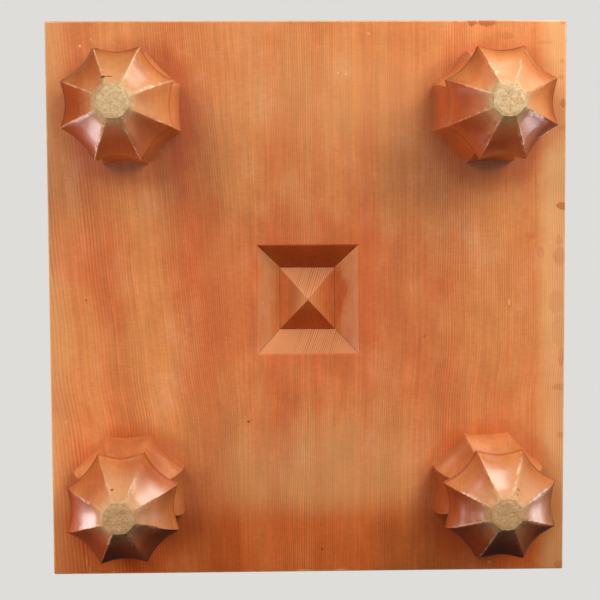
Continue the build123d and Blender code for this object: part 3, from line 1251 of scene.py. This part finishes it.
def make_camera():
    """The camera below the board, from its measured place and turn."""
    turn = Matrix.Rotation(camera_turn.length, 3, camera_turn.normalized())
    right, down, forward = turn
    work_on(None)
    bpy.ops.object.camera_add(location=camera_place)
    camera = bpy.context.object
    camera.name = "camera_below"
    camera.rotation_mode = "QUATERNION"
    axes = Matrix((right, -down, -forward)).transposed()
    camera.rotation_quaternion = axes.to_quaternion()
    camera.data.sensor_width = sensor_width
    camera.data.lens = sensor_width * focal_pixels / frame_pixels
    camera.data.dof.use_dof = False
    bpy.context.scene.camera = camera


def add_lamp(name, place, target, size, power, colour):
    """A square area lamp that looks at a target and isn't seen itself."""
    work_on(None)
    bpy.ops.object.light_add(type="AREA", location=place)
    lamp = bpy.context.object
    lamp.name = name
    lamp.rotation_mode = "QUATERNION"
    lamp.rotation_quaternion = (Vector(target) - Vector(place)).to_track_quat("-Z", "Y")
    lamp.data.shape = "RECTANGLE"
    lamp.data.size, lamp.data.size_y = size
    lamp.data.energy = power
    lamp.data.color = colour
    lamp.visible_camera = False
    return lamp


def floor_material(settings):
    """Pale floor that only the camera sees, and only from above, so that the light below it isn't cut off."""
    material, tree, shader = new_material("pale_floor")
    point = tree.outputs("ShaderNodeTexCoord")["Object"]
    low, high = (tuple(channel * part for channel in settings.backdrop) for part in (0.48, 0.51))
    tree.fill(shader, {
        "Base Color": tree.mix(tree.noise(point, 3.0), low, high),
        "Emission Color": tuple(settings.backdrop),
        "Emission Strength": 0.60,
        "Roughness": 0.9,
        "Specular IOR Level": 0.1,
    })
    clear = tree.get("ShaderNodeBsdfTransparent")
    above = 1.0 - tree.get("ShaderNodeNewGeometry", output="Backfacing")
    seen = above * tree.get("ShaderNodeLightPath", output="Is Camera Ray")
    near = tree.length(point).ease(floor_ends, floor_fades)
    blend = tree.get("ShaderNodeMixShader", {0: seen * near, 1: clear, 2: Value(tree, shader.outputs[0])})
    output = next(node for node in material.node_tree.nodes if node.type == "OUTPUT_MATERIAL")
    tree.fill(output, {"Surface": blend})
    return material


def light_world(settings):
    """Pale to the camera, the same tone but dim in reflections, and an even soft light elsewhere."""
    world = bpy.data.worlds.new("studio")
    bpy.context.scene.world = world
    world.use_nodes = True
    world.node_tree.nodes.clear()
    tree = Tree(world.node_tree)
    path = tree.outputs("ShaderNodeLightPath")
    mirrored = tree.most(path["Is Glossy Ray"], path["Is Transmission Ray"]) * settings.mirrored
    seen = tree.most(path["Is Camera Ray"], mirrored)
    strength = seen * (1.0 - settings.ambient) + settings.ambient
    glow = tree.get("ShaderNodeBackground", {"Color": settings.backdrop, "Strength": strength})
    tree.add("ShaderNodeOutputWorld", {0: glow})


class WEIQI_OT_stage(bpy.types.Operator):
    """Adds the camera, the lamps, the pale floor and the world"""

    bl_idname = "weiqi.stage"
    bl_label = "Stage"

    def execute(self, context):
        settings = context.scene.weiqi_stage
        context.scene.view_settings.view_transform = "Standard"
        make_camera()
        light_world(settings)
        work_on(None)
        bpy.ops.mesh.primitive_circle_add(vertices=96, radius=9, fill_type="NGON", location=(0, 0, 0))
        ground = context.object
        ground.name = "floor"
        dress(ground, floor_material(settings))
        middle = (0, 0, underside)
        for name, place, size, power, colour, mirrored in lamps:
            target = (place[0], place[1], 0) if name == "panel_behind_camera" else middle
            lamp = add_lamp(name, place, target, size, power * settings.lamp_power, colour)
            lamp.visible_glossy = mirrored
        return {"FINISHED"}


class WEIQI_OT_block(bpy.types.Operator):
    """Models and finishes the carved block"""

    bl_idname = "weiqi.block"
    bl_label = "Block"

    def execute(self, context):
        block = make_block(context.scene.weiqi_block)
        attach(block, "board")
        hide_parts("board_block")
        return {"FINISHED"}


class WEIQI_OT_legs(bpy.types.Operator):
    """Models one fluted leg, copies it to the four corners and finishes each"""

    bl_idname = "weiqi.legs"
    bl_label = "Legs"

    def execute(self, context):
        settings = context.scene.weiqi_legs
        finish = leg_material(settings)
        first = carve_leg(settings)
        turns = [0.05, 0.79, 0.87, 0.53]
        for index, (body, turn) in enumerate(zip(leg_bodies, turns)):
            leg = first if index == len(leg_bodies) - 1 else first.copy()
            if leg is not first:
                leg.data = first.data.copy()
                context.scene.collection.objects.link(leg)
            leg.name = "carved_" + body
            finish_leg(leg, body, settings, math.radians(turn))
            dress(leg, finish)
            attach(leg, body)
            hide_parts(body)
        return {"FINISHED"}


class WEIQI_OT_grid(bpy.types.Operator):
    """Draws the lacquer lines of the playing face"""

    bl_idname = "weiqi.grid"
    bl_label = "Grid lines"

    def execute(self, context):
        settings = context.scene.weiqi_grid
        lines = make_grid(settings)
        dress(lines, lacquer_material(settings))
        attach(lines, "board")
        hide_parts("grid_lines")
        return {"FINISHED"}


class WEIQI_OT_stars(bpy.types.Operator):
    """Adds the nine lacquer star points"""

    bl_idname = "weiqi.stars"
    bl_label = "Star points"

    def execute(self, context):
        settings = context.scene.weiqi_grid
        stars = make_stars(settings)
        dress(stars, lacquer_material(settings))
        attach(stars, "board")
        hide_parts("star_points")
        return {"FINISHED"}


class WEIQI_PT_panel(bpy.types.Panel):
    """The board's operators and settings in the sidebar"""

    bl_label = "Weiqi Board"
    bl_idname = "WEIQI_PT_panel"
    bl_space_type = "VIEW_3D"
    bl_region_type = "UI"
    bl_category = "Weiqi"

    def draw(self, context):
        for operator, holder in (("weiqi.stage", "weiqi_stage"), ("weiqi.block", "weiqi_block"),
                                 ("weiqi.legs", "weiqi_legs"), ("weiqi.grid", "weiqi_grid"),
                                 ("weiqi.stars", None)):
            box = self.layout.box()
            box.operator(operator)
            if holder is not None:
                settings = getattr(context.scene, holder)
                for name in settings.__annotations__:
                    box.prop(settings, name)


settings_classes = {
    "weiqi_block": BlockSettings,
    "weiqi_legs": LegSettings,
    "weiqi_grid": GridSettings,
    "weiqi_stage": StageSettings,
}
operator_classes = [WEIQI_OT_stage, WEIQI_OT_block, WEIQI_OT_legs, WEIQI_OT_grid, WEIQI_OT_stars,
                    WEIQI_PT_panel]


def register():
    """Registers the settings, the operators and the panel."""
    for name, group in settings_classes.items():
        bpy.utils.register_class(group)
        setattr(bpy.types.Scene, name, PointerProperty(type=group))
    for each in operator_classes:
        bpy.utils.register_class(each)


def unregister():
    """Takes back what register added."""
    for each in reversed(operator_classes):
        bpy.utils.unregister_class(each)
    for name, group in settings_classes.items():
        delattr(bpy.types.Scene, name)
        bpy.utils.unregister_class(group)


def main():
    """Builds everything in order."""
    register()
    bpy.ops.weiqi.stage()
    bpy.ops.weiqi.block()
    bpy.ops.weiqi.legs()
    bpy.ops.weiqi.grid()
    bpy.ops.weiqi.stars()


if __name__ == "__main__":
    main()
